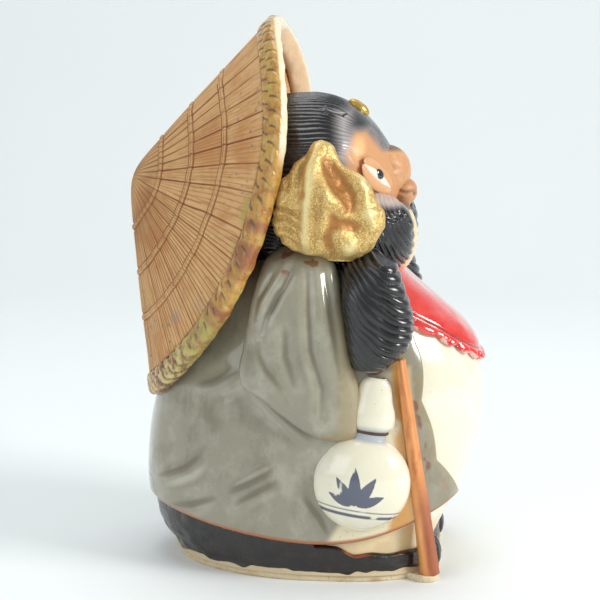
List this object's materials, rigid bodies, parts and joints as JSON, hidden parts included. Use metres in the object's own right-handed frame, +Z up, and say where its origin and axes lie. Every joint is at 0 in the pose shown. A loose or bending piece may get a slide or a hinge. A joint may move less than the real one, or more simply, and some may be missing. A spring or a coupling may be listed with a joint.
{
  "type": "ceramic tanuki figurine",
  "caption": "Standing glazed stoneware tanuki figurine with a straw hat on its back, red bib, robe, sake bottle, account book, staff and a gold cloth bundle.",
  "frame": {"origin": "on the floor plane, under the middle of the figure's bounding box", "axes": "+Z up, the figure faces -Y, its own right side is at -X"},
  "size_m": [0.1322, 0.1659, 0.2495],
  "materials": {
    "bare_clay": "unglazed matte",
    "cream_glaze": "glossy cream glaze",
    "fur_glaze": "satin dark brown glaze over rough clay",
    "celadon_glaze": "glossy grey-green ash glaze",
    "bib_glaze": "glossy red glaze",
    "black_glaze": "glossy black glaze over combed clay",
    "eye_white": "glossy white",
    "pupil_black": "glossy black",
    "face_clay": "satin orange-brown clay",
    "gold_glaze": "bright gold lustre",
    "straw_clay": "matte tan clay with red-brown oxide in the grooves",
    "rim_glaze": "glossy ochre glaze with brown specks",
    "terracotta_clay": "matte terracotta",
    "cord_brown": "satin brown"
  },
  "bodies": {
    "root": {"foot_rim": "bare_clay", "torso": "cream_glaze", "fur_skirt": "fur_glaze", "tail": "fur_glaze", "right_foot": "fur_glaze", "left_foot": "fur_glaze", "robe": "celadon_glaze", "bib": "bib_glaze", "bib_ruffle": "bib_glaze", "head": "black_glaze", "right_jowl": "black_glaze", "left_jowl": "black_glaze", "right_ear": "black_glaze", "left_ear": "black_glaze", "right_eye": "eye_white", "left_eye": "eye_white", "right_pupil": "pupil_black", "left_pupil": "pupil_black", "snout": "face_clay", "nose": "face_clay", "upper_lip": "face_clay", "chin": "cream_glaze", "forehead_bead": "gold_glaze", "hat_crown": "straw_clay", "hat_lining": "straw_clay", "hat_rim": "rim_glaze", "right_sleeve": "celadon_glaze", "left_sleeve": "celadon_glaze", "right_arm": "black_glaze", "left_arm": "black_glaze", "gold_bundle": "gold_glaze", "staff": "terracotta_clay", "bottle_body": "cream_glaze", "bottle_neck": "cream_glaze", "bottle_cord": "cord_brown", "account_book": "cream_glaze", "book_cord": "cord_brown"}
  },
  "joints": []
}
